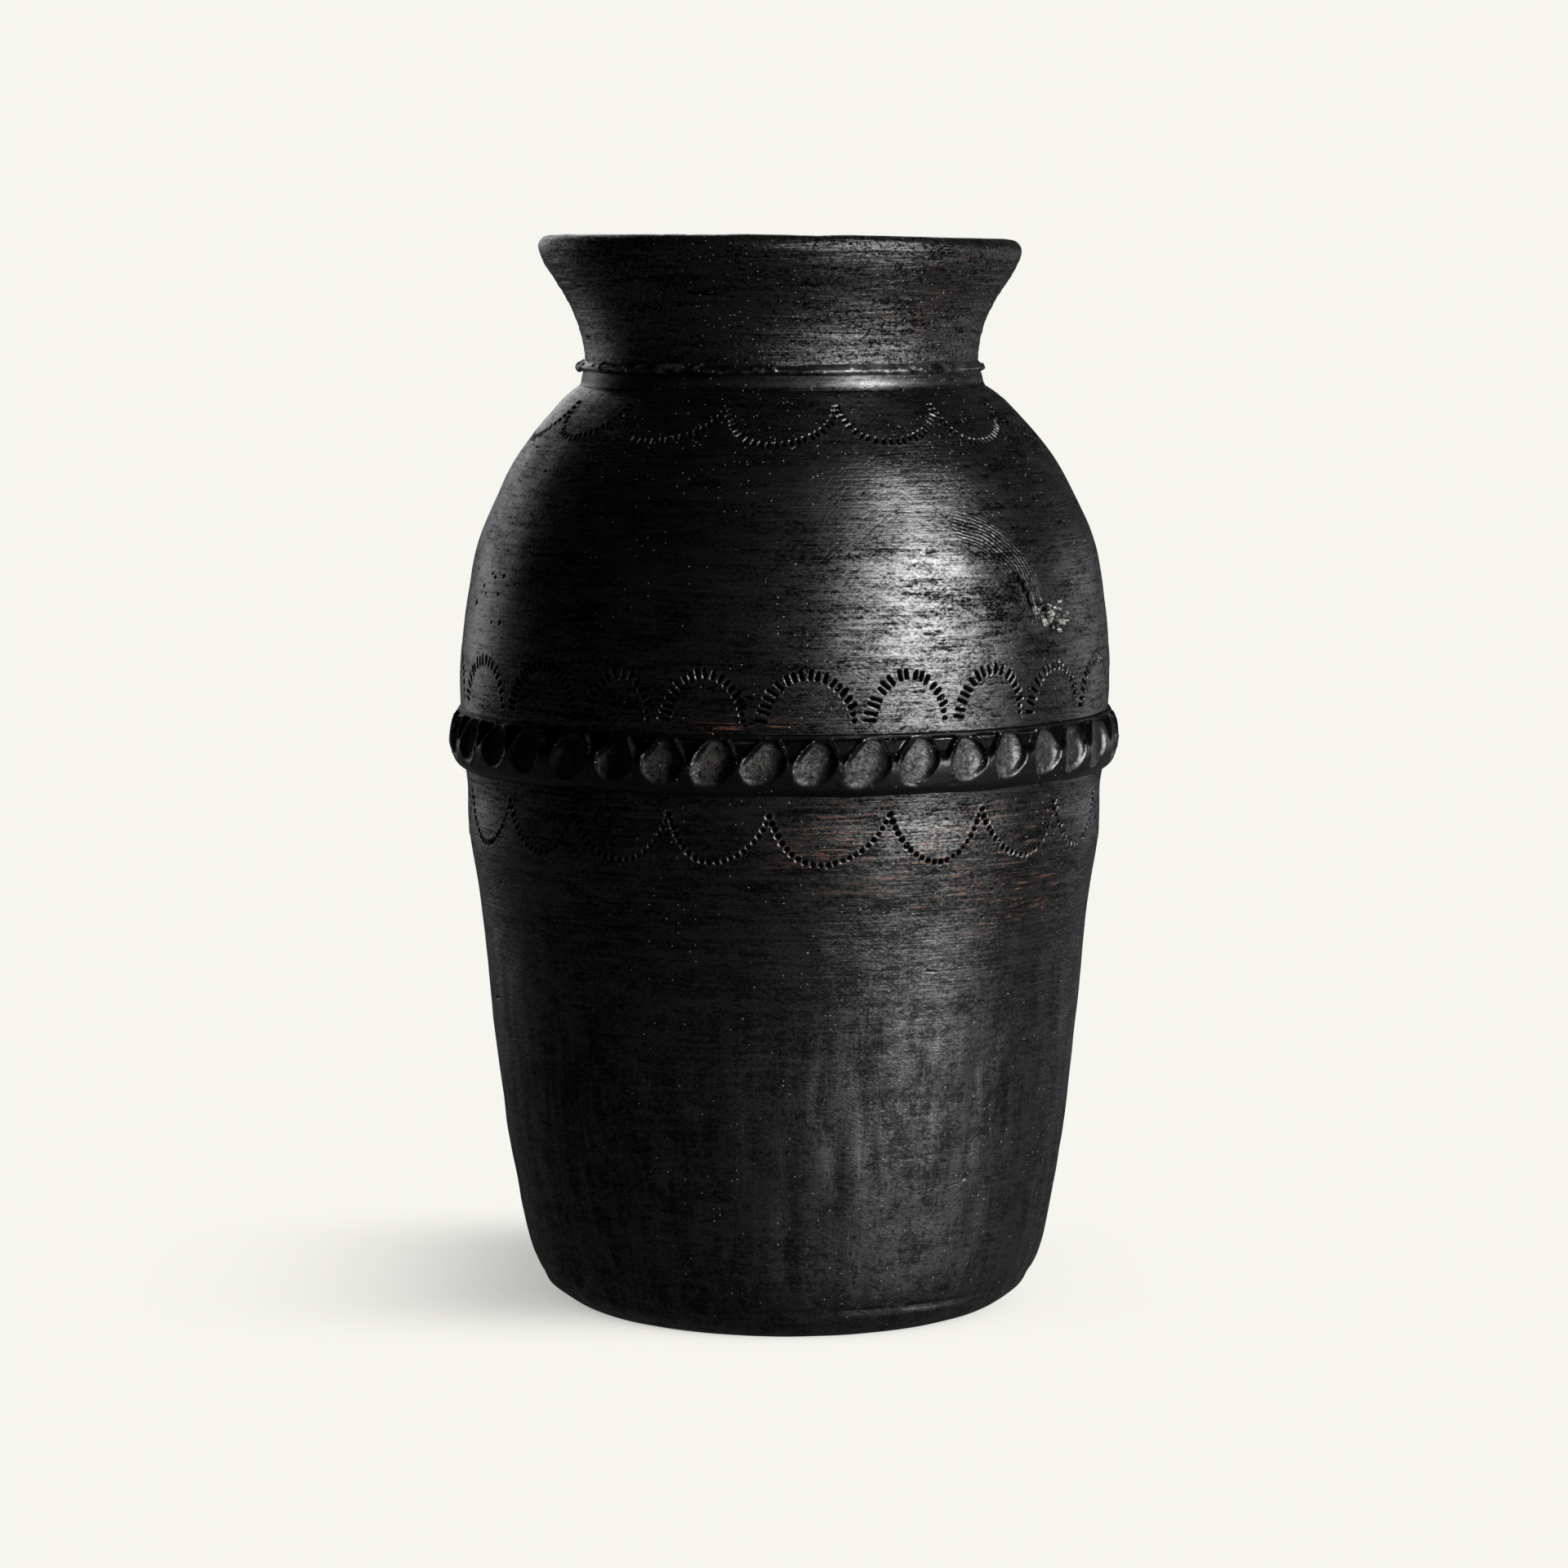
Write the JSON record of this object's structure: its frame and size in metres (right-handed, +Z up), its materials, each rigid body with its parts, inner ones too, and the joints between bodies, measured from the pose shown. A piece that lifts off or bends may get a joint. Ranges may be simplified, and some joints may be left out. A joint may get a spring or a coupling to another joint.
{
  "type": "clay pot",
  "caption": "Hand-built black clay pot with a flared neck, rounded shoulder, fingertip-pressed waist band and rows of stamped scallops, for dried branches or display.",
  "frame": {"origin": "centre of the foot, on the ground", "axes": "+Z up along the pot's turning axis; the pot is round, so +X and +Y are free, and -Y is the side shown to the viewer"},
  "size_m": [0.1417, 0.1418, 0.225],
  "materials": {
    "black_clay": "black fired clay, burnished in patches, semi-gloss with matte grey wear",
    "pressed_clay": "black fired clay with fingertip texture, polished on the raised edges",
    "brushed_clay": "black fired clay with fine horizontal brush lines, satin"
  },
  "bodies": {
    "root": {"base_slab": "black_clay", "base_corner_coil": "black_clay", "lower_wall": "black_clay", "upper_wall": "black_clay", "waist_band": "pressed_clay", "neck": "brushed_clay", "neck_collar": "black_clay", "rim_coil": "brushed_clay"}
  },
  "joints": []
}
